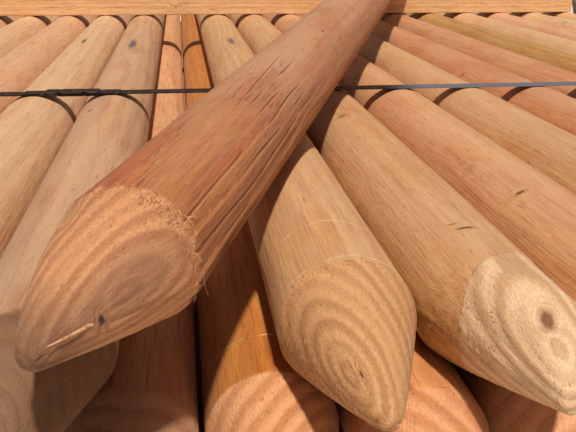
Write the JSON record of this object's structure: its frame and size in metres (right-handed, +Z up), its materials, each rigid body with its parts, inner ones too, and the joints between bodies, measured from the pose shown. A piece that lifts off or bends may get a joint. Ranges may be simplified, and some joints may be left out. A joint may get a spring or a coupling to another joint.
{
  "type": "stack of round fence stakes",
  "caption": "Strapped pack of peeled, pointed round fence stakes with a sawn batten on top and one loose stake laid across it.",
  "frame": {"origin": "under the middle of the pack, at the underside of the straps it stands on", "axes": "+X across the pack, +Y along the stakes away from their points, +Z up"},
  "size_m": [1.2277, 2.5275, 0.5638],
  "materials": {
    "peeled_softwood": "peeled and turned, dry, unfinished",
    "peeled_softwood_red": "peeled, torn grain, dry, unfinished",
    "sawn_softwood": "rough sawn, dry, unfinished",
    "steel_strap": "blackened steel, satin",
    "steel_seal": "satin"
  },
  "bodies": {
    "root": {"stake_row_1": "peeled_softwood", "stake_row_2": "peeled_softwood", "stake_row_3": "peeled_softwood", "stake_row_4": "peeled_softwood", "stake_row_5": "peeled_softwood", "stake_row_6": "peeled_softwood", "loose_stake": "peeled_softwood_red", "batten": "sawn_softwood", "strap_front": "steel_strap", "strap_rear": "steel_strap", "seal_front": "steel_seal", "seal_rear": "steel_seal"}
  },
  "joints": []
}
